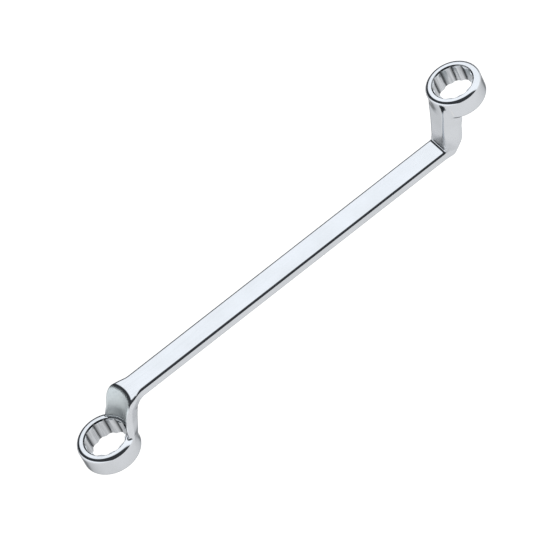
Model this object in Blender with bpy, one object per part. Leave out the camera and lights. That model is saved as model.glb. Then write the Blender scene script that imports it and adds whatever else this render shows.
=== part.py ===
"""A forged double-ended ring spanner: one bar, cranked up at one end and down at the other, with two rings.

Both rings have twelve-point holes. The whole tool is a single piece of steel.

The bar lies along X, both ring axes along Z, and the origin is the middle of the tool's bounding box.
"""

import math
from collections import namedtuple

import bpy
import numpy as np

# One end of the tool. The side is -1 for the ring below the bar at -X and +1 for the ring above it at +X.
# The wall is measured from the points of the hole to the outside of the ring, and the offset from the bar's
# centre line up or down to the middle of the ring. The scoop is the round hollow in the neck for a bolt.
RingEnd = namedtuple(
    "RingEnd", "name side across_flats wall height offset outer_bend inner_bend scoop_profile_radius"
)

# One side of a neck, seen in profile: the distance from the ring's axis to its corner with the bar, its
# steepness and the radius that rounds the corner.
NeckSide = namedtuple("NeckSide", "corner_reach angle radius")


def point_radius(end):
    """From a ring's axis to the points of its twelve-point hole."""
    return end.across_flats / 2 / math.cos(math.pi / 6)


def ring_radius(end):
    return point_radius(end) + end.wall


LARGE_ACROSS_FLATS = 0.01720
LARGE_RING_WALL = 0.00337
LARGE_RING_HEIGHT = 0.0104
LARGE_OFFSET = 0.0187
LARGE_OUTER_CORNER_REACH = 0.0118
LARGE_OUTER_BEND_RADIUS = 0.0050
LARGE_OUTER_STEEPNESS = math.radians(70)
LARGE_INNER_CORNER_REACH = 0.0198
LARGE_INNER_BEND_RADIUS = 0.0050
LARGE_INNER_STEEPNESS = math.radians(66)
LARGE_SCOOP_PROFILE_RADIUS = 0.0245

SMALL_ACROSS_FLATS = 0.01620
SMALL_RING_WALL = 0.00315
SMALL_RING_HEIGHT = 0.0102
SMALL_OFFSET = 0.0236
SMALL_OUTER_CORNER_REACH = 0.0103
SMALL_OUTER_BEND_RADIUS = 0.0090
SMALL_OUTER_STEEPNESS = math.radians(70)
SMALL_INNER_CORNER_REACH = 0.0181
SMALL_INNER_BEND_RADIUS = 0.0015
SMALL_INNER_STEEPNESS = math.radians(73)
SMALL_SCOOP_PROFILE_RADIUS = 0.0420

LARGE = RingEnd(
    name="large",
    side=-1,
    across_flats=LARGE_ACROSS_FLATS,
    wall=LARGE_RING_WALL,
    height=LARGE_RING_HEIGHT,
    offset=LARGE_OFFSET,
    outer_bend=NeckSide(LARGE_OUTER_CORNER_REACH, LARGE_OUTER_STEEPNESS, LARGE_OUTER_BEND_RADIUS),
    inner_bend=NeckSide(LARGE_INNER_CORNER_REACH, LARGE_INNER_STEEPNESS, LARGE_INNER_BEND_RADIUS),
    scoop_profile_radius=LARGE_SCOOP_PROFILE_RADIUS,
)
SMALL = RingEnd(
    name="small",
    side=1,
    across_flats=SMALL_ACROSS_FLATS,
    wall=SMALL_RING_WALL,
    height=SMALL_RING_HEIGHT,
    offset=SMALL_OFFSET,
    outer_bend=NeckSide(SMALL_OUTER_CORNER_REACH, SMALL_OUTER_STEEPNESS, SMALL_OUTER_BEND_RADIUS),
    inner_bend=NeckSide(SMALL_INNER_CORNER_REACH, SMALL_INNER_STEEPNESS, SMALL_INNER_BEND_RADIUS),
    scoop_profile_radius=SMALL_SCOOP_PROFILE_RADIUS,
)

RING_SPACING = 0.2083
OVERALL_LENGTH = ring_radius(LARGE) + RING_SPACING + ring_radius(SMALL)
OVERALL_HEIGHT = LARGE.height / 2 + LARGE.offset + SMALL.offset + SMALL.height / 2
BAR_LEVEL = -OVERALL_HEIGHT / 2 + LARGE.height / 2 + LARGE.offset

BAR_HALF_WIDTH = 0.00585
BAR_HALF_THICKNESS = 0.0022
BAR_CORNER_RADIUS = 0.0011
NECK_CORNER_RADIUS = 0.0022
LARGEST_CORNER_SHARE = 0.92  # of half the thickness

# A neck is wider on the outer side of its bend than on the inner side. The root is where it meets the ring.
BEND_OUTER_HALF_WIDTH = 0.0090
BEND_INNER_HALF_WIDTH = 0.0053
ROOT_OUTER_HALF_WIDTH = 0.0108
ROOT_INNER_HALF_WIDTH = 0.0066

NECK_END_BELOW_RING_MIDDLE = 0.0018
WIDENING_IN_BAR = 0.0030
WIDENING_IN_NECK = 0.0080
ROOT_FLARE_ABOVE_RING = 0.0075
ROOT_FLARE_BELOW_FACE = 0.0020
NARROWING_IN_BAR = 0.0030
NARROWING_IN_NECK = 0.0080

RING_EDGE_RADIUS = 0.0016
MOUTH_WIDENING = 0.0004  # from the points of the twelve-point hole to the rim of its mouth
MOUTH_DEPTH = 0.0004
MOUTH_LIP = 0.0002  # the straight wall between the neck-side mouth's slope and the ring's face
SCOOP_LEDGE = 0.0010  # from the rim of the mouth to the foot of the scoop's wall
SCOOP_FOOT_HEIGHT = 0.0003
SCOOP_CLEARANCE = 0.0030  # how far the scoop's cutter stands clear of the bar
CUTTER_OVERLAP = 0.0005

CORNER_STEPS = 5
BEND_STEPS = 9
NECK_STEPS = 9
BAR_STEPS = 26
RING_STEPS = 72
CUTTER_START = math.pi / RING_STEPS  # half a step, so that a round cutter's corners miss those of the hole
EDGE_STEPS = 4
SCOOP_STEPS = 12
SMOOTH_BELOW = math.radians(28)


def clear_scene():
    for old in list(bpy.data.objects):
        bpy.data.objects.remove(old, do_unlink=True)


def add_mesh(name, points, faces):
    mesh = bpy.data.meshes.new(name)
    mesh.from_pydata([tuple(point) for point in points], [], faces)
    mesh.validate()
    made = bpy.data.objects.new(name, mesh)
    bpy.context.scene.collection.objects.link(made)
    return made


def add_cutter(name, points, faces):
    cutter = add_mesh(name, points, faces)
    cutter.hide_render = True
    cutter.display_type = "WIRE"
    return cutter


def ring_centre(end):
    x = end.side * (OVERALL_LENGTH / 2 - ring_radius(end))
    return np.array([x, 0.0, BAR_LEVEL + end.side * end.offset])


def closed_tube(rings):
    """Points and faces of a closed solid through rings of equally many points, with flat ends."""
    count = len(rings[0])
    faces = [tuple(range(count))[::-1]]
    for first in range(0, count * (len(rings) - 1), count):
        for i in range(count):
            j = (i + 1) % count
            faces.append((first + i, first + j, first + count + j, first + count + i))
    last = count * (len(rings) - 1)
    faces.append(tuple(range(last, last + count)))
    return np.concatenate(rings), faces


def turned_solid(profile, steps, start=0.0):
    """A solid turned about Z from a profile of (radius, height) that runs from bottom to top."""
    angles = start + np.arange(steps) * 2 * math.pi / steps
    around = np.column_stack([np.cos(angles), np.sin(angles)])
    rings = [np.column_stack([radius * around, np.full(steps, height)]) for radius, height in profile]
    return closed_tube(rings)


def arc(centre_radius, centre_height, radius, start, end, steps):
    """Profile points on an arc, with its angles counted from the outward direction."""
    angles = np.linspace(start, end, steps + 1)
    return [
        (centre_radius + radius * math.cos(angle), centre_height + radius * math.sin(angle))
        for angle in angles
    ]


def eased(value, low, high):
    """0 below low and 1 above high, with a smooth rise between them."""
    share = min(max((value - low) / (high - low), 0.0), 1.0)
    return share * share * (3 - 2 * share)


def side_line(end, neck_side, level):
    """One side of the tool in profile, from inside a ring to the middle of the bar, as points in X and Z."""
    centre = ring_centre(end)
    corner = np.array([centre[0] - end.side * neck_side.corner_reach, BAR_LEVEL + end.side * level])
    down = end.side * np.array([math.cos(neck_side.angle), math.sin(neck_side.angle)])
    along = -end.side * np.array([1.0, 0.0])
    tangent = neck_side.radius * math.tan(neck_side.angle / 2)
    length = (end.offset - level + NECK_END_BELOW_RING_MIDDLE) / math.sin(neck_side.angle)
    pivot = corner + along * tangent + end.side * np.array([0.0, neck_side.radius])
    neck = np.linspace(length, tangent, NECK_STEPS, endpoint=False)
    points = [corner + down * distance for distance in neck]
    for turn in np.linspace(neck_side.angle, 0, BEND_STEPS):
        points.append(pivot + end.side * neck_side.radius * np.array([math.sin(turn), -math.cos(turn)]))
    bar = np.linspace(tangent, abs(corner[0]), BAR_STEPS)[1:]
    return points + [corner + along * distance for distance in bar]


def rounded_outline(outer_half_width, inner_half_width, half_thickness, corner):
    """An outline with four round corners and slanting sides, its outer side up, as points (across, up)."""
    corner = min(corner, LARGEST_CORNER_SHARE * half_thickness)
    slant = math.atan2(outer_half_width - inner_half_width, 2 * half_thickness)
    slope = (outer_half_width - inner_half_width) / (2 * half_thickness)
    middle = (outer_half_width + inner_half_width) / 2 - corner / math.cos(slant)
    up = half_thickness - corner
    right_angle = math.pi / 2
    corners = [
        (middle + slope * up, up, -slant, right_angle),
        (-middle - slope * up, up, right_angle, 2 * right_angle + slant),
        (-middle + slope * up, -up, 2 * right_angle + slant, 3 * right_angle),
        (middle - slope * up, -up, 3 * right_angle, 4 * right_angle - slant),
    ]
    points = []
    for across, level, start, end in corners:
        for angle in np.linspace(start, end, CORNER_STEPS + 1):
            points.append((across + corner * math.cos(angle), level + corner * math.sin(angle)))
    return np.array(points)


def blend(first, second, share):
    return first + (second - first) * share


def stem_widths(way, root):
    """Half widths on the outer and on the inner side, and the corner radius, of one section of the stem.

    The way is counted along the stem from where the straight bar ends, towards the ring, and the root is the
    way to the ring's near face.
    """
    in_neck = eased(way, -NARROWING_IN_BAR, NARROWING_IN_NECK)
    wide = eased(way, -WIDENING_IN_BAR, WIDENING_IN_NECK)
    flare = eased(way, root - ROOT_FLARE_ABOVE_RING, root + ROOT_FLARE_BELOW_FACE)
    down_the_neck = eased(way, WIDENING_IN_NECK, root)
    outer = blend(BAR_HALF_WIDTH, BEND_OUTER_HALF_WIDTH, wide)
    outer += (ROOT_OUTER_HALF_WIDTH - BEND_OUTER_HALF_WIDTH) * down_the_neck
    inner = blend(BAR_HALF_WIDTH, BEND_INNER_HALF_WIDTH, in_neck)
    inner += (ROOT_INNER_HALF_WIDTH - BEND_INNER_HALF_WIDTH) * flare
    return outer, inner, blend(BAR_CORNER_RADIUS, NECK_CORNER_RADIUS, in_neck)


def stem_section(end, inner_point, outer_point, widths):
    """The closed section that spans the stem between two facing points of its profile."""
    outer, inner, corner = widths
    up = outer_point - inner_point
    half_thickness = math.hypot(*up) / 2
    outline = rounded_outline(outer, inner, half_thickness, corner)
    if end.side > 0:
        # The small end is the large one turned over, so its points start half a turn later.
        outline = np.roll(outline * np.array([-1, 1]), len(outline) // 2, axis=0)
    across, lift = outline.T
    x, z = ((inner_point + outer_point) / 2)[:, None] + (up / (2 * half_thickness))[:, None] * lift
    return np.column_stack([x, across, z])


def stem_sections(end):
    """The stem's sections from inside one ring to the middle of the bar."""
    inner_line = side_line(end, end.inner_bend, BAR_HALF_THICKNESS)
    outer_line = side_line(end, end.outer_bend, -BAR_HALF_THICKNESS)
    middles = (np.array(inner_line) + np.array(outer_line)) / 2
    steps = np.hypot(*np.diff(middles, axis=0).T)
    travelled = np.concatenate([[0.0], np.cumsum(steps)])
    ways = travelled[NECK_STEPS + BEND_STEPS - 1] - travelled
    drops = np.abs(middles[:, 1] - BAR_LEVEL)
    root = np.interp(end.height / 2 - end.offset, -drops, ways)
    sections = []
    for inner_point, outer_point, way in zip(inner_line, outer_line, ways):
        sections.append(stem_section(end, inner_point, outer_point, stem_widths(way, root)))
    return sections


def build_stem():
    """The bar with its two cranked necks, in one run from inside the large ring to inside the small one."""
    sections = stem_sections(LARGE) + stem_sections(SMALL)[-2::-1]
    points, faces = closed_tube(sections)
    return add_mesh("forged_body", points, faces)


def build_ring_blank(end):
    """The ring before its hole is cut, with rounded outer edges."""
    half = end.height / 2
    inner = ring_radius(end) - RING_EDGE_RADIUS
    level = half - RING_EDGE_RADIUS
    profile = arc(inner, -level, RING_EDGE_RADIUS, -math.pi / 2, 0, EDGE_STEPS)
    profile += arc(inner, level, RING_EDGE_RADIUS, 0, math.pi / 2, EDGE_STEPS)
    points, faces = turned_solid(profile, RING_STEPS)
    return add_cutter(f"{end.name}_ring_blank", points + ring_centre(end), faces)


def twelve_point_outline(end):
    """The outline that two hexagons make, one turned by 30 degrees, with a point on the X axis."""
    hollow_radius = end.across_flats / 2 / math.cos(math.pi / 12)
    angles = np.arange(24) * math.pi / 12
    radii = np.where(np.arange(24) % 2 == 0, point_radius(end), hollow_radius)
    return np.column_stack([radii * np.cos(angles), radii * np.sin(angles)])


def build_hole_cutter(end):
    outline = twelve_point_outline(end)
    reach = end.height / 2 + CUTTER_OVERLAP
    rings = [np.column_stack([outline, np.full(len(outline), level)]) for level in (-reach, reach)]
    points, faces = closed_tube(rings)
    return add_cutter(f"{end.name}_hole_cutter", points + ring_centre(end), faces)


def mouth_radius(end):
    return point_radius(end) + MOUTH_WIDENING


def build_mouth_cutter(end):
    """The funnel at the ring's working face, which leads the spanner onto a nut."""
    slope = MOUTH_WIDENING / MOUTH_DEPTH
    face = end.height / 2
    foot = mouth_radius(end) - 2 * MOUTH_WIDENING
    top = mouth_radius(end) + CUTTER_OVERLAP * slope
    profile = [(foot, face - 2 * MOUTH_DEPTH), (top, face + CUTTER_OVERLAP)]
    points, faces = turned_solid(profile, RING_STEPS, CUTTER_START)
    return add_cutter(f"{end.name}_mouth_cutter", placed(points, end, 1), placed_faces(faces, end, 1))


def build_scoop_cutter(end):
    """The funnel at the ring's other face and, above it, the scoop, which opens like a trumpet."""
    face = end.height / 2
    rim = face - MOUTH_LIP
    profile = [(mouth_radius(end) - 2 * MOUTH_WIDENING, rim - 2 * MOUTH_DEPTH), (mouth_radius(end), rim)]
    foot = face + SCOOP_FOOT_HEIGHT
    rise = end.offset + BAR_HALF_THICKNESS + SCOOP_CLEARANCE - foot
    curve = end.scoop_profile_radius
    middle = mouth_radius(end) + SCOOP_LEDGE + curve
    profile += arc(middle, foot, curve, math.pi, math.pi - math.asin(rise / curve), SCOOP_STEPS)
    points, faces = turned_solid(profile, RING_STEPS, CUTTER_START)
    return add_cutter(f"{end.name}_scoop_cutter", placed(points, end, -1), placed_faces(faces, end, -1))


def placed(points, end, facing):
    """Moves points onto the ring, turned so that their +Z faces away from the bar (1) or towards it (-1)."""
    direction = end.side * facing
    return points * np.array([1.0, 1.0, direction]) + ring_centre(end)


def placed_faces(faces, end, facing):
    return faces if end.side * facing > 0 else [face[::-1] for face in faces]


def apply_boolean(target, tool, operation):
    boolean = target.modifiers.new(tool.name, "BOOLEAN")
    boolean.object = tool
    boolean.operation = operation
    boolean.solver = "EXACT"


def chrome():
    material = bpy.data.materials.new("polished_chrome")
    material.use_nodes = True
    shader = material.node_tree.nodes["Principled BSDF"]
    shader.inputs["Base Color"].default_value = (0.78, 0.80, 0.83, 1.0)
    shader.inputs["Metallic"].default_value = 1.0
    shader.inputs["Roughness"].default_value = 0.12
    return material


def smooth_shading(made):
    bpy.context.view_layer.objects.active = made
    for other in bpy.context.view_layer.objects:
        other.select_set(other == made)
    bpy.ops.object.shade_smooth()
    made.data.set_sharp_from_angle(angle=SMOOTH_BELOW)


def build_spanner():
    body = build_stem()
    for end in (LARGE, SMALL):
        apply_boolean(body, build_ring_blank(end), "UNION")
    for end in (LARGE, SMALL):
        apply_boolean(body, build_scoop_cutter(end), "DIFFERENCE")
        apply_boolean(body, build_mouth_cutter(end), "DIFFERENCE")
        apply_boolean(body, build_hole_cutter(end), "DIFFERENCE")
    body.data.materials.append(chrome())
    smooth_shading(body)


clear_scene()
build_spanner()
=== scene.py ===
"""The looks of a chrome-plated ring spanner: a smooth forging, a studio floor, light and a camera.

The forging's surface is worked out as a field that is negative inside the steel, so that the necks
flow into the rings through real fillets. The twelve-point holes and their mouths are then cut out of
it with crisp edges.
"""

import math
from collections import namedtuple

import bpy
import numpy as np
from mathutils import Matrix, Vector


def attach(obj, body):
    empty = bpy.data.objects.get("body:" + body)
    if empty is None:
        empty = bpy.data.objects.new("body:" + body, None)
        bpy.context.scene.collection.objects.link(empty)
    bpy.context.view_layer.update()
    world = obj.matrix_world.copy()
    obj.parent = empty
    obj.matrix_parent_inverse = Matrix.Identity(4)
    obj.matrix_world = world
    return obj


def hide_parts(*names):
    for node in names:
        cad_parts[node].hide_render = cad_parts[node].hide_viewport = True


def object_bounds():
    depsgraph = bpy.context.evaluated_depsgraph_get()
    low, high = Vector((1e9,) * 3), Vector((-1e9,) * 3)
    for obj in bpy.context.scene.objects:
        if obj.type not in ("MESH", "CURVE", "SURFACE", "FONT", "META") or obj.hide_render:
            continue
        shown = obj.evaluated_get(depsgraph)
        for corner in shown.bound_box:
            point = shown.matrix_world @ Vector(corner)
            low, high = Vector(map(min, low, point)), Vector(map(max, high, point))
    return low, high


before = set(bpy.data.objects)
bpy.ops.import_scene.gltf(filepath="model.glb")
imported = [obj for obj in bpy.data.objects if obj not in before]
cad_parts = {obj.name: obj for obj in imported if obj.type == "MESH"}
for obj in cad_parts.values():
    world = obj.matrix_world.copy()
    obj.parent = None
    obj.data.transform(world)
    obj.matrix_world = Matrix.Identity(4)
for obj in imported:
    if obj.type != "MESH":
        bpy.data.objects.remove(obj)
cad_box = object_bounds()

# Sizes of the tool, in metres. One end of it is a ring with its neck. The side is -1 for the ring below
# the bar at -X and +1 for the ring above it at +X. The widening is where the neck starts and stops to
# widen, along it.

NeckSide = namedtuple("NeckSide", "corner_reach angle radius")
RingEnd = namedtuple(
    "RingEnd",
    "name side across_flats wall height offset outer_bend inner_bend widening scoop_profile_radius",
)

LARGE = RingEnd(
    name="large",
    side=-1,
    across_flats=0.01720,
    wall=0.00337,
    height=0.0104,
    offset=0.0187,
    outer_bend=NeckSide(corner_reach=0.0118, angle=math.radians(70), radius=0.0050),
    inner_bend=NeckSide(corner_reach=0.0198, angle=math.radians(66), radius=0.0050),
    widening=(-0.0040, 0.0060),
    scoop_profile_radius=0.0245,
)
SMALL = RingEnd(
    name="small",
    side=1,
    across_flats=0.01620,
    wall=0.00315,
    height=0.0102,
    offset=0.0236,
    outer_bend=NeckSide(corner_reach=0.0103, angle=math.radians(70), radius=0.0090),
    inner_bend=NeckSide(corner_reach=0.0181, angle=math.radians(73), radius=0.0012),
    widening=(-0.0020, 0.0110),
    scoop_profile_radius=0.0420,
)

POINTS = 12
HALF_POINT_TURN = math.pi / POINTS


def point_radius(end):
    """From a ring's axis to the points of its twelve-point hole."""
    return end.across_flats / 2 / math.cos(2 * HALF_POINT_TURN)


def ridge_radius(end):
    """From a ring's axis to the ridges between the points."""
    return end.across_flats / 2 / math.cos(HALF_POINT_TURN)


def ring_radius(end):
    return point_radius(end) + end.wall


RING_SPACING = 0.2083
OVERALL_LENGTH = ring_radius(LARGE) + RING_SPACING + ring_radius(SMALL)
OVERALL_HEIGHT = LARGE.height / 2 + LARGE.offset + SMALL.offset + SMALL.height / 2
BAR_LEVEL = -OVERALL_HEIGHT / 2 + LARGE.height / 2 + LARGE.offset

BAR_HALF_WIDTH = 0.0060
BAR_HALF_THICKNESS = 0.0022
BAR_CORNER_RADIUS = 0.0012
NECK_CORNER_RADIUS = 0.0013

# The neck is wider on the outer side of its bend than on the inner side. The root is where it meets
# the ring.
BEND_OUTER_HALF_WIDTH = 0.0087
BEND_INNER_HALF_WIDTH = 0.0053
ROOT_OUTER_SHARE = 0.75  # of the ring's radius
ROOT_INNER_HALF_WIDTH = 0.0058
ROOT_OUTER_FLARE = 0.0060
ROOT_INNER_FLARE_ABOVE_RING = 0.0075
ROOT_INNER_FLARE_BELOW_FACE = 0.0020
SIDE_SLOPE_SHARE = 0.60  # of the neck's thickness, from its inner side; the rest has the outer width
NARROWING_IN_BAR = 0.0030
NARROWING_IN_NECK = 0.0080
NECK_END_BELOW_RING_MIDDLE = 0.0018

RING_EDGE_RADIUS = 0.0016
ROOT_FILLET = 0.0006

# The scoop is the round hollow in the neck that clears a bolt.
SCOOP_LEDGE = 0.0008
SCOOP_FLOOR_IN_RING = 0.0015
SCOOP_RIM_RADIUS = 0.0010  # in the bar
SCOOP_EDGE_RADIUS = 0.0009  # in the neck
SCOOP_RIM_DEPTH = 0.0040

MOUTH_WIDENING = 0.0002  # from the points of the twelve-point hole to the rim of its mouth
MOUTH_DEPTH = 0.00024
MOUTH_EDGE_RADIUS = 0.0003
MOUTH_EDGE_EXIT = math.radians(9)
MOUTH_EDGE_STEPS = 4
MOUTH_STEPS = 144
RIDGE_RADIUS = 0.00025
RIDGE_STEPS = 4
PREPARED_HOLE_SHARE = 0.93  # of the hole's inner radius, opened before the hole itself is cut
CUTTER_OVERLAP = 0.0005
SHARP_ABOVE = math.radians(18)

CELL = 0.0003
MARGIN_CELLS = 3
SMOOTHING_ROUNDS = 6
LAST_DRAWS = 2
LEAST_STEEPNESS = 0.25
SLOPE_STEPS = 20  # the steps in one cell, for measuring the field's slope

# The studio. A light is seen by rays that face its direction squarely enough: the pair is where it
# begins and where it is full. The soft light also ends at a dark wall, which hides it from the rays
# that don't face the wall's open side.
CAMERA_AZIMUTH = math.radians(-13.76)
CAMERA_ELEVATION = math.radians(47.136)
CAMERA_ROLL = math.radians(-27.812)
CAMERA_DISTANCE = 2.29316
CAMERA_TARGET = (-0.003979, -0.002456, -0.003092)
CAMERA_LENS = 344.0
CAMERA_SENSOR_WIDTH = 36.0
CAMERA_CLIP_END = 20.0

SOFT_LIGHT_DIRECTION = (0.90, 0.40, 0.15)
SOFT_LIGHT_RANGE = (0.34, 0.48)
OPEN_SIDE_DIRECTION = (0.50, -0.35, 1.00)
OPEN_SIDE_RANGE = (0.36, 0.47)
LOW_LIGHT_DIRECTION = (-0.87, -0.10, -0.48)
LOW_LIGHT_RANGE = (0.42, 0.55)
LIGHT_STRENGTH = 1.6
LIGHT_COLOUR = (0.94, 0.97, 1.0, 1.0)
DARK_ROOM_COLOUR = (0.035, 0.038, 0.042, 1.0)

FLOOR_HALF_SIZE = 3.0
FLOOR_GAP = 0.0005
FLOOR_COLOUR = (0.20, 0.20, 0.20, 1.0)
FLOOR_ROUGHNESS = 0.9
FLOOR_GLOW_COLOUR = (1.0, 1.0, 1.0, 1.0)
FLOOR_GLOW = 1.0

# Finishes. Noise scales are in waves per metre and heights in metres. A pair is a lowest and a highest
# value.
EDGE_TINT = (0.50, 0.51, 0.52, 1.0)
CHROME_COLOUR = (0.575, 0.59, 0.615, 1.0)
CHROME_CLOUD_COLOUR = (0.545, 0.56, 0.58, 1.0)
WORN_COLOUR = (0.62, 0.625, 0.63, 1.0)
WORN_POINTINESS = (0.52, 0.60)
# Painted dark reflection: the plating's colour goes nearly black where it turns away from the view.
PAINTED_DARK_REFLECTION_COLOUR = (0.06, 0.062, 0.068, 1.0)
PAINTED_DARK_REFLECTION_FACING = (0.66, 0.84)
SCOOP_COLOUR = (0.60, 0.64, 0.65, 1.0)
SCOOP_CLOUD_COLOUR = (0.55, 0.59, 0.60, 1.0)
BORE_COLOUR = (0.55, 0.565, 0.585, 1.0)
BORE_MARK_COLOUR = (0.42, 0.435, 0.455, 1.0)
# Painted shade: the bore's colour goes nearly black towards the points of the hole.
PAINTED_BORE_SHADE_COLOUR = (0.13, 0.135, 0.14, 1.0)
PAINTED_BORE_SHADE_RANGE = (0.45, 1.0)
POLISHED_ROUGHNESS = (0.07, 0.12)
SCOOP_ROUGHNESS = (0.42, 0.50)
BORE_ROUGHNESS = (0.12, 0.26)
HOLLOW_ROUGHNESS = 0.42  # added in the concave bends
HOLLOW_START = 0.0006
HOLLOW_REACH = (0.0030, 0.0100)
SCOOP_SKIN = (0.0001, 0.0006)

NOISE_RANGE = (0.3, 0.7)
PATCH_RANGE = (0.4, 0.6)
CLOUD_SCALE = 70
CLOUD_DETAIL = 3
WEAR_SCALE = 260
WEAR_DETAIL = 4
WAVE_SCALE = 55
WAVE_DETAIL = 1
WAVE_HEIGHT = 0.00002
STREAK_SCALE = 1400
STREAK_DETAIL = 2
STREAK_HEIGHT = 0.0000006
STREAKS_ALONG_BAR = (0.04, 1, 1)
STREAKS_UPRIGHT = (1, 1, 0.05)
BROACH_SCALE = 1800
BROACH_DETAIL = 3
BROACH_HEIGHT = 0.0000012


# The field of the forging. Each function takes arrays and gives distances in metres, negative inside
# the steel.


def eased(value, low, high):
    """0 below low and 1 above high, with a smooth rise between them."""
    share = np.clip((value - low) / (high - low), 0.0, 1.0)
    return share * share * (3 - 2 * share)


def blend(first, second, share):
    return first + (second - first) * share


def round_intersection(first, second, radius):
    """What lies in both solids, with their edge rounded."""
    over = np.hypot(np.maximum(radius + first, 0), np.maximum(radius + second, 0))
    return np.minimum(-radius, np.maximum(first, second)) + over


def round_union(first, second, radius):
    """What lies in either solid, with a fillet between them."""
    return -round_intersection(-first, -second, radius)


def bent_side(along, up, neck_side):
    """Distance below a side of the tool, which runs level along the bar and bends up into the neck."""
    angle, radius = neck_side.angle, neck_side.radius
    past_corner = along - neck_side.corner_reach
    straight = np.maximum(-up, -(math.sin(angle) * past_corner + math.cos(angle) * up))
    pivot_along = past_corner - radius * math.tan(angle / 2)
    pivot_up = up - radius
    in_bend = (pivot_along < 0) & (math.cos(angle) * pivot_along > math.sin(angle) * pivot_up)
    return np.where(in_bend, np.hypot(pivot_along, pivot_up) - radius, straight)


def way_up_neck(along, up, end):
    """How far a place lies up the neck from the end of the straight bar, and the same for its root."""
    outer, inner = end.outer_bend, end.inner_bend
    angle = (outer.angle + inner.angle) / 2
    radius = (outer.radius + inner.radius) / 2
    tangent = radius * math.tan(angle / 2)
    pivot_along = along - (outer.corner_reach + inner.corner_reach) / 2 - tangent
    pivot_up = up - radius
    turned = np.clip(np.arctan2(-pivot_along, -pivot_up), 0, angle)
    in_neck = math.sin(angle) * pivot_up - math.cos(angle) * pivot_along
    way = np.where(turned <= 0, -pivot_along, 0) + np.where(turned >= angle, in_neck, 0)
    way = radius * turned + way
    root = radius * angle - tangent + (end.offset - end.height / 2) / math.sin(angle)
    return way, root


def half_widths(way, root, end):
    """Half the stem's width on the outer and on the inner side of its bend."""
    outer = blend(BAR_HALF_WIDTH, BEND_OUTER_HALF_WIDTH, eased(way, *end.widening))
    flare = ROOT_OUTER_SHARE * ring_radius(end) - BEND_OUTER_HALF_WIDTH
    outer = outer + flare * eased(way, root - ROOT_OUTER_FLARE, root)
    narrowed = eased(way, -NARROWING_IN_BAR, NARROWING_IN_NECK)
    inner = blend(BAR_HALF_WIDTH, BEND_INNER_HALF_WIDTH, narrowed)
    flare = ROOT_INNER_HALF_WIDTH - BEND_INNER_HALF_WIDTH
    start, stop = root - ROOT_INNER_FLARE_ABOVE_RING, root + ROOT_INNER_FLARE_BELOW_FACE
    return outer, inner + flare * eased(way, start, stop)


def stem_field(along, across, up, end):
    """The bar and one neck."""
    outer_side = bent_side(along, up + BAR_HALF_THICKNESS, end.outer_bend)
    inner_side = -bent_side(along, up - BAR_HALF_THICKNESS, end.inner_bend)
    way, root = way_up_neck(along, up, end)
    outer, inner = half_widths(way, root, end)
    sloping = SIDE_SLOPE_SHARE * np.maximum(-outer_side - inner_side, BAR_HALF_THICKNESS)
    width = blend(inner, outer, np.clip(-inner_side / sloping, 0, 1))
    side = (np.abs(across) - width) / np.hypot(1, (outer - inner) / sloping)
    in_neck = eased(way, -NARROWING_IN_BAR, NARROWING_IN_NECK)
    corner = blend(BAR_CORNER_RADIUS, NECK_CORNER_RADIUS, in_neck)
    stem = round_intersection(np.maximum(outer_side, inner_side), side, corner)
    return np.maximum(stem, up - end.offset - NECK_END_BELOW_RING_MIDDLE)


def mouth_radius(end):
    return point_radius(end) + MOUTH_WIDENING


def near_face(end):
    """The level of a ring's face on the bar's side."""
    return end.offset - end.height / 2


def scoop_wall(radius, up, end):
    """Distance into the scoop from its wall, which starts upright at the mouth and opens like a trumpet."""
    middle = mouth_radius(end) + SCOOP_LEDGE + end.scoop_profile_radius
    return np.hypot(np.minimum(radius - middle, 0), up - near_face(end)) - end.scoop_profile_radius


def end_field(along, across, up, end):
    """One half of the tool, with places counted from the ring's axis and from the bar's centre line."""
    radius = np.hypot(along, across)
    height = np.abs(up - end.offset) - end.height / 2
    ring = round_intersection(radius - ring_radius(end), height, RING_EDGE_RADIUS)
    joined = round_union(stem_field(along, across, up, end), ring, ROOT_FILLET)
    left_by_scoop = np.minimum(scoop_wall(radius, up, end), near_face(end) + SCOOP_FLOOR_IN_RING - up)
    rim = blend(SCOOP_RIM_RADIUS, SCOOP_EDGE_RADIUS, eased(up, -BAR_HALF_THICKNESS, SCOOP_RIM_DEPTH))
    scooped = round_intersection(joined, left_by_scoop, rim)
    return np.maximum(np.minimum(scooped, ring), PREPARED_HOLE_SHARE * ridge_radius(end) - radius)


def ring_centre(end):
    x = end.side * (OVERALL_LENGTH / 2 - ring_radius(end))
    return np.array([x, 0.0, BAR_LEVEL + end.side * end.offset])


def in_end(x, z, end):
    """Places counted along the bar from the ring's axis, and from the bar towards the ring."""
    return end.side * (ring_centre(end)[0] - x), end.side * (z - BAR_LEVEL)


def forging_field(x, y, z):
    halves = []
    for end in (LARGE, SMALL):
        along, up = in_end(x, z, end)
        halves.append(end_field(along, y, up, end))
    return np.where(x < 0, *halves)


# The mesh of the forging: a net of squares over the field, then drawn onto it.

CUBE_CORNERS = np.array([(i, j, k) for i in (0, 1) for j in (0, 1) for k in (0, 1)])


def grid_axes(low, high):
    """The places of the grid's planes along each axis, with the box in its middle."""
    axes = []
    for start, end in zip(low, high):
        count = math.ceil((end - start) / CELL) + 2 * MARGIN_CELLS
        axes.append((start + end) / 2 + CELL * (np.arange(count + 1) - count / 2))
    return axes


def crossed_cells(inside):
    """Which cells the surface passes through: those with some of their eight corners inside it."""
    count = 0
    for i, j, k in CUBE_CORNERS:
        count = count + inside[i : i - 1 or None, j : j - 1 or None, k : k - 1 or None].astype(int)
    return (count > 0) & (count < len(CUBE_CORNERS))


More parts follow.
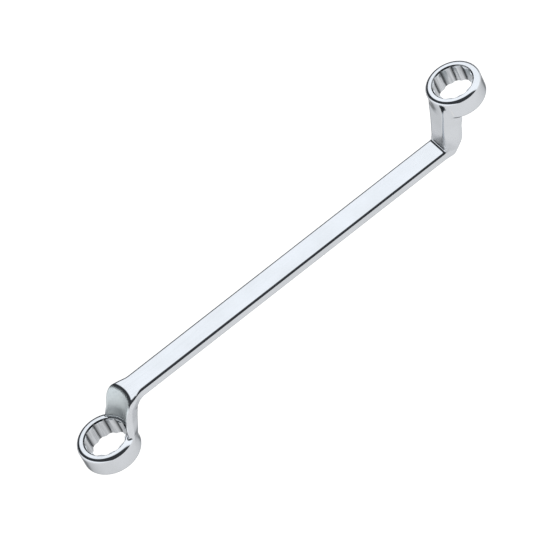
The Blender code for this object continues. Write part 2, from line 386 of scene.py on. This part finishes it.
def net_points(values, cells, axes):
    """The middle of the surface in each cell: the mean of where it crosses the cell's twelve edges."""
    total = np.zeros((len(cells), 3))
    crossings = np.zeros(len(cells))
    for axis in range(3):
        step = np.eye(3, dtype=int)[axis]
        for corner in CUBE_CORNERS[CUBE_CORNERS[:, axis] == 0]:
            first = values[tuple((cells + corner).T)]
            second = values[tuple((cells + corner + step).T)]
            crossed = (first < 0) != (second < 0)
            share = first / np.where(crossed, first - second, 1)
            total += np.where(crossed[:, None], corner + share[:, None] * step, 0)
            crossings += crossed
    start = np.array([axis[0] for axis in axes])
    return start + CELL * (cells + total / crossings[:, None])


def net_faces(inside, numbers):
    """A square round each grid edge that the surface crosses."""
    faces = []
    for axis in range(3):
        first, second = (axis + 1) % 3, (axis + 2) % 3
        here = np.take(inside, range(0, inside.shape[axis] - 1), axis)
        there = np.take(inside, range(1, inside.shape[axis]), axis)
        for leaving in (True, False):
            nodes = np.argwhere((here != there) & (here == leaving))
            ring = [(0, 0), (-1, 0), (-1, -1), (0, -1)]
            corners = []
            for a, b in ring if leaving else ring[::-1]:
                cell = nodes.copy()
                cell[:, first] += a
                cell[:, second] += b
                corners.append(numbers[tuple(cell.T)])
            faces.append(np.column_stack(corners))
    return np.concatenate(faces)


def field_slope(points):
    """The field and its gradient at some points."""
    reach = CELL / SLOPE_STEPS
    slope = np.zeros_like(points)
    for axis in range(3):
        step = np.eye(3)[axis] * reach
        rise = forging_field(*(points + step).T) - forging_field(*(points - step).T)
        slope[:, axis] = rise / (2 * reach)
    return forging_field(*points.T), slope


def drawn_to_field(points):
    value, slope = field_slope(points)
    steepness = np.maximum((slope**2).sum(axis=1), LEAST_STEEPNESS)
    move = -(value / steepness)[:, None] * slope
    return points + np.clip(move, -CELL, CELL)


def evened_out(points, faces):
    """Moves each point halfway to the middle of its neighbours, along the surface only."""
    ends = np.concatenate([faces[:, [i, (i + 1) % 4]] for i in range(4)])
    ends = np.concatenate([ends, ends[:, ::-1]])
    count = np.bincount(ends[:, 0], minlength=len(points))
    sums = [np.bincount(ends[:, 0], points[ends[:, 1], axis], len(points)) for axis in range(3)]
    move = np.column_stack(sums) / count[:, None] - points
    slope = field_slope(points)[1]
    normal = slope / np.linalg.norm(slope, axis=1, keepdims=True)
    return points + (move - (move * normal).sum(axis=1, keepdims=True) * normal) / 2


def add_mesh(name, points, faces):
    mesh = bpy.data.meshes.new(name)
    mesh.from_pydata([tuple(point) for point in points], [], faces)
    mesh.validate()
    made = bpy.data.objects.new(name, mesh)
    bpy.context.scene.collection.objects.link(made)
    return made


def build_forging():
    axes = grid_axes(*cad_box)
    values = forging_field(*np.meshgrid(*axes, indexing="ij"))
    crossed = crossed_cells(values < 0)
    cells = np.argwhere(crossed)
    numbers = np.full(crossed.shape, -1)
    numbers[crossed] = np.arange(len(cells))
    points = net_points(values, cells, axes)
    faces = net_faces(values < 0, numbers)
    for _ in range(SMOOTHING_ROUNDS):
        points = drawn_to_field(evened_out(points, faces))
    for _ in range(LAST_DRAWS):
        points = drawn_to_field(points)
    return add_mesh("spanner", points, faces.tolist())


# The holes: a twelve-point prism and a funnel at each end of it, joined into one cutter.

CUT = 1  # the place of the cut holes' material in the forging's list


def closed_tube(rings):
    """Points and faces of a closed solid through rings of equally many points, with flat ends."""
    count = len(rings[0])
    faces = [tuple(range(count))[::-1]]
    for first in range(0, count * (len(rings) - 1), count):
        for i in range(count):
            j = (i + 1) % count
            faces.append((first + i, first + j, first + count + j, first + count + i))
    last = count * (len(rings) - 1)
    faces.append(tuple(range(last, last + count)))
    return np.concatenate(rings), faces


def turned_to(angle):
    return np.array([math.cos(angle), math.sin(angle)])


def twelve_point_outline(end):
    """Two hexagons, one turned by 30 degrees, with a point on the X axis and each ridge rounded off."""
    ridge_middle = ridge_radius(end) + RIDGE_RADIUS / math.cos(HALF_POINT_TURN)
    outline = []
    for point in range(POINTS):
        angle = 2 * HALF_POINT_TURN * point
        outline.append(point_radius(end) * turned_to(angle))
        ridge = angle + HALF_POINT_TURN
        inwards = ridge + math.pi
        for turn in np.linspace(HALF_POINT_TURN, -HALF_POINT_TURN, RIDGE_STEPS + 1):
            rounded = RIDGE_RADIUS * turned_to(inwards + turn)
            outline.append(ridge_middle * turned_to(ridge) + rounded)
    return np.array(outline)


def funnel_profile(end):
    """The mouth of a hole: a slope, a rounded rim and a short wall beyond the ring's face."""
    slope = math.atan2(MOUTH_DEPTH, MOUTH_WIDENING)
    half = end.height / 2
    rim = mouth_radius(end)
    turns = np.linspace(slope, MOUTH_EDGE_EXIT, MOUTH_EDGE_STEPS + 1)
    arc = [(MOUTH_EDGE_RADIUS * math.sin(turn), MOUTH_EDGE_RADIUS * math.cos(turn)) for turn in turns]
    last_sine, last_cosine = arc[-1]
    edge = [(rim + last_sine - sine, half + cosine - last_cosine) for sine, cosine in arc]
    foot_radius, foot_height = edge[0]
    profile = [(foot_radius - 2 * MOUTH_WIDENING, foot_height - 2 * MOUTH_DEPTH)] + edge
    beyond = MOUTH_EDGE_RADIUS / 3
    profile.append((rim + beyond, half + beyond * math.tan(MOUTH_EDGE_EXIT)))
    profile.append((rim + beyond, half + CUTTER_OVERLAP))
    return profile


def lifted(outline, height):
    return np.column_stack([outline, np.full(len(outline), height)])


def turned_rings(profile):
    """Rings of points about Z, half a step on so that they miss the corners of the hole."""
    angles = (np.arange(MOUTH_STEPS) + 0.5) * 2 * math.pi / MOUTH_STEPS
    around = np.column_stack([np.cos(angles), np.sin(angles)])
    return [lifted(radius * around, height) for radius, height in profile]


def apply_boolean(target, tool, operation):
    """Joins the tool to the target or takes it away, and removes the tool."""
    boolean = target.modifiers.new(tool.name, "BOOLEAN")
    boolean.object = tool
    boolean.operation = operation
    boolean.solver = "EXACT"
    graph = bpy.context.evaluated_depsgraph_get()
    made = bpy.data.meshes.new_from_object(target.evaluated_get(graph))
    target.modifiers.clear()
    target.data = made
    bpy.data.objects.remove(tool)


def build_hole_tool(end):
    outline = twelve_point_outline(end)
    reach = end.height / 2 + CUTTER_OVERLAP / 2
    prism = [lifted(outline, -reach), lifted(outline, reach)]
    tool = add_mesh(f"{end.name}_hole", *closed_tube(prism))
    upper, faces = closed_tube(turned_rings(funnel_profile(end)))
    apply_boolean(tool, add_mesh("upper_mouth", upper, faces), "UNION")
    lower = upper * np.array([1, 1, -1])
    apply_boolean(tool, add_mesh("lower_mouth", lower, [face[::-1] for face in faces]), "UNION")
    tool.location = Vector(ring_centre(end))
    bpy.context.view_layer.update()
    return tool


def cut_holes(forging, materials):
    for material in materials:
        forging.data.materials.append(material)
    for end in (LARGE, SMALL):
        tool = build_hole_tool(end)
        tool.data.materials.clear()
        for material in materials:
            tool.data.materials.append(material)
        tool.data.polygons.foreach_set("material_index", np.full(len(tool.data.polygons), CUT))
        apply_boolean(forging, tool, "DIFFERENCE")


def finish_shares(x, y, z, end):
    """How much each point lies in a dull hollow, on the scoop's wall, and in a corner of the hole, where
    the bore gets painted shade.
    """
    along, up = in_end(x, z, end)
    radius = np.hypot(along, y)
    bend = np.hypot(along - end.inner_bend.corner_reach, up - BAR_HALF_THICKNESS)
    in_neck = eased(end.inner_bend.corner_reach - along, 0, HOLLOW_START)
    hollow = (1 - eased(bend, *HOLLOW_REACH)) * in_neck * eased(up, 0, BAR_HALF_THICKNESS)
    on_wall = 1 - eased(np.abs(scoop_wall(radius, up, end)), *SCOOP_SKIN)
    in_scoop = (along > 0) & (up < near_face(end) - SCOOP_SKIN[0])
    corner = (radius - ridge_radius(end)) / (point_radius(end) - ridge_radius(end))
    return hollow, on_wall * in_scoop, np.clip(corner, 0, 1)


def store_finish(forging):
    """Stores on each point of the mesh what its material has to know about the shape."""
    mesh = forging.data
    places = np.empty(len(mesh.vertices) * 3)
    mesh.vertices.foreach_get("co", places)
    x, y, z = places.reshape(-1, 3).T
    large, small = finish_shares(x, y, z, LARGE), finish_shares(x, y, z, SMALL)
    for name, on_large, on_small in zip(("hollow", "scooped", "corner"), large, small):
        attribute = mesh.attributes.new(name, "FLOAT", "POINT")
        attribute.data.foreach_set("value", np.where(x < 0, on_large, on_small))


def shade(forging):
    """Smooth all over, but for the edges of the cut holes."""
    mesh = forging.data
    mesh.polygons.foreach_set("use_smooth", np.ones(len(mesh.polygons), bool))
    faces_at = {}
    for face in mesh.polygons:
        for key in face.edge_keys:
            faces_at.setdefault(key, []).append(face)
    sharp = np.zeros(len(mesh.edges), bool)
    for edge in mesh.edges:
        faces = faces_at[edge.key]
        if len(faces) == 2 and any(face.material_index == CUT for face in faces):
            sharp[edge.index] = faces[0].normal.angle(faces[1].normal, 0) > SHARP_ABOVE
    attribute = mesh.attributes.get("sharp_edge")
    if attribute is None:
        attribute = mesh.attributes.new("sharp_edge", "BOOLEAN", "EDGE")
    attribute.data.foreach_set("value", sharp)


# Materials.


class Shading:
    """Adds shader nodes to one material or world. Methods take values or sockets, and give a socket."""

    def __init__(self, owner):
        owner.use_nodes = True
        self.tree = owner.node_tree

    def fill(self, node, inputs):
        for name, value in inputs.items():
            if isinstance(value, bpy.types.NodeSocket):
                self.tree.links.new(value, node.inputs[name])
            else:
                node.inputs[name].default_value = value

    def node(self, kind, inputs, output, **settings):
        made = self.tree.nodes.new(f"ShaderNode{kind}")
        for name, value in settings.items():
            setattr(made, name, value)
        self.fill(made, inputs)
        return made.outputs[output]

    def noise(self, scale, detail, stretch=(1, 1, 1)):
        """Noise that sticks to the tool. A small stretch draws it out into streaks."""
        place = self.node("TexCoord", {}, "Object")
        place = self.node("Mapping", {"Vector": place, "Scale": stretch}, "Vector")
        return self.node("TexNoise", {"Vector": place, "Scale": scale, "Detail": detail}, "Fac")

    def stored(self, name):
        return self.node("Attribute", {}, "Fac", attribute_name=name)

    def ramp(self, value, source, target=(0, 1)):
        """The value with its source range carried over to the target range, and eased at both ends."""
        inputs = {
            "Value": value,
            "From Min": source[0],
            "From Max": source[1],
            "To Min": target[0],
            "To Max": target[1],
        }
        return self.node("MapRange", inputs, "Result", interpolation_type="SMOOTHSTEP")

    def maths(self, operation, first, second):
        return self.node("Math", {0: first, 1: second}, "Value", operation=operation)

    def mixed(self, share, first, second, data_type="RGBA"):
        inputs = {"Factor": share, "A": first, "B": second}
        return self.node("Mix", inputs, "Result", data_type=data_type)

    def bumps(self, height, distance, inputs=None):
        return self.node("Bump", {"Height": height, "Distance": distance, **(inputs or {})}, "Normal")


def chrome(name, finish):
    """A chrome-plated material. The finish adds the nodes of its colour, roughness and normal."""
    material = bpy.data.materials.new(name)
    shading = Shading(material)
    shader = material.node_tree.nodes["Principled BSDF"]
    shading.fill(shader, {"Metallic": 1.0, "Specular Tint": EDGE_TINT, **finish(shading)})
    return material


def plating_colour(shading, clouds):
    """Faint clouds in the plating, paler where its edges are worn, and a painted dark reflection where it
    turns away from the view.
    """
    plating = shading.mixed(clouds, CHROME_COLOUR, CHROME_CLOUD_COLOUR)
    edges = shading.ramp(shading.node("NewGeometry", {}, "Pointiness"), WORN_POINTINESS)
    patches = shading.ramp(shading.noise(WEAR_SCALE, WEAR_DETAIL), PATCH_RANGE)
    plating = shading.mixed(shading.maths("MULTIPLY", edges, patches), plating, WORN_COLOUR)
    # Painted dark reflection along the silhouettes, where the surface turns away from the view.
    outline = shading.ramp(shading.node("LayerWeight", {}, "Facing"), PAINTED_DARK_REFLECTION_FACING)
    return shading.mixed(outline, plating, PAINTED_DARK_REFLECTION_COLOUR)


def forged_finish(shading):
    """Polished nearly to a mirror, ground in the scoops, and duller in the bends."""
    clouds = shading.ramp(shading.noise(CLOUD_SCALE, CLOUD_DETAIL), NOISE_RANGE)
    scooped = shading.stored("scooped")
    colour = plating_colour(shading, clouds)
    ground = shading.mixed(clouds, SCOOP_COLOUR, SCOOP_CLOUD_COLOUR)
    streaks = shading.noise(STREAK_SCALE, STREAK_DETAIL, STREAKS_ALONG_BAR)
    hollow = shading.maths("MULTIPLY", shading.stored("hollow"), HOLLOW_ROUGHNESS)
    polish = shading.maths("ADD", shading.ramp(streaks, NOISE_RANGE, POLISHED_ROUGHNESS), hollow)
    grinding = shading.noise(STREAK_SCALE, STREAK_DETAIL, STREAKS_UPRIGHT)
    grinding = shading.ramp(grinding, NOISE_RANGE, SCOOP_ROUGHNESS)
    waves = shading.bumps(shading.noise(WAVE_SCALE, WAVE_DETAIL), WAVE_HEIGHT)
    return {
        "Base Color": shading.mixed(scooped, colour, ground),
        "Roughness": shading.mixed(scooped, polish, grinding, "FLOAT"),
        "Normal": shading.bumps(streaks, STREAK_HEIGHT, {"Normal": waves}),
    }


def cut_finish(shading):
    """Broached facets, with painted shade that darkens them towards the points of the hole."""
    marks = shading.noise(BROACH_SCALE, BROACH_DETAIL, STREAKS_UPRIGHT)
    facets = shading.mixed(shading.ramp(marks, NOISE_RANGE), BORE_COLOUR, BORE_MARK_COLOUR)
    # Painted shade towards the points of the hole.
    corner = shading.ramp(shading.stored("corner"), PAINTED_BORE_SHADE_RANGE)
    return {
        "Base Color": shading.mixed(corner, facets, PAINTED_BORE_SHADE_COLOUR),
        "Roughness": shading.ramp(marks, NOISE_RANGE, BORE_ROUGHNESS),
        "Normal": shading.bumps(marks, BROACH_HEIGHT),
    }


# The studio.


def add_floor():
    half, level = FLOOR_HALF_SIZE, cad_box[0][2] - FLOOR_GAP
    corners = [(-half, -half, level), (half, -half, level), (half, half, level), (-half, half, level)]
    floor = add_mesh("floor", corners, [(0, 1, 2, 3)])
    material = bpy.data.materials.new("pale_floor")
    shading = Shading(material)
    look = {
        "Base Color": FLOOR_COLOUR,
        "Roughness": FLOOR_ROUGHNESS,
        "Emission Color": FLOOR_GLOW_COLOUR,
        "Emission Strength": FLOOR_GLOW,
    }
    shading.fill(material.node_tree.nodes["Principled BSDF"], look)
    floor.data.materials.append(material)


def facing(shading, direction, squareness):
    """0 for rays that point away from the direction and 1 for rays that point to it."""
    ray = shading.node("TexCoord", {}, "Generated")
    aim = Vector(direction).normalized()
    dot = shading.node("VectorMath", {0: ray, 1: aim}, "Value", operation="DOT_PRODUCT")
    return shading.ramp(dot, squareness)


def add_world():
    """Soft light from the right, cut off by a dark wall, and a low light from the left, in a dark room."""
    world = bpy.data.worlds.new("studio")
    bpy.context.scene.world = world
    shading = Shading(world)
    light = facing(shading, SOFT_LIGHT_DIRECTION, SOFT_LIGHT_RANGE)
    past_wall = facing(shading, OPEN_SIDE_DIRECTION, OPEN_SIDE_RANGE)
    low_light = facing(shading, LOW_LIGHT_DIRECTION, LOW_LIGHT_RANGE)
    lit = shading.maths("MAXIMUM", shading.maths("MULTIPLY", light, past_wall), low_light)
    colour = shading.mixed(lit, DARK_ROOM_COLOUR, LIGHT_COLOUR)
    shading.fill(world.node_tree.nodes["Background"], {"Color": colour, "Strength": LIGHT_STRENGTH})


def add_camera():
    """The photograph's view: from above and in front, rolled so that the tool climbs to the right."""
    data = bpy.data.cameras.new("camera")
    data.sensor_width = CAMERA_SENSOR_WIDTH
    data.lens = CAMERA_LENS
    data.clip_end = CAMERA_CLIP_END
    camera = bpy.data.objects.new("camera", data)
    bpy.context.scene.collection.objects.link(camera)
    flat = math.cos(CAMERA_ELEVATION)
    x, y = flat * math.sin(CAMERA_AZIMUTH), -flat * math.cos(CAMERA_AZIMUTH)
    towards = Vector((x, y, math.sin(CAMERA_ELEVATION)))
    turned = towards.to_track_quat("Z", "Y").to_matrix().to_4x4() @ Matrix.Rotation(CAMERA_ROLL, 4, "Z")
    camera.matrix_world = Matrix.Translation(Vector(CAMERA_TARGET) + towards * CAMERA_DISTANCE) @ turned
    bpy.context.scene.camera = camera


spanner = build_forging()
cut_holes(spanner, [chrome("polished_chrome", forged_finish), chrome("cut_chrome", cut_finish)])
store_finish(spanner)
shade(spanner)
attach(spanner, "root")
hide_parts("forged_body")
add_floor()
add_world()
add_camera()
bpy.context.scene.view_settings.view_transform = "Standard"
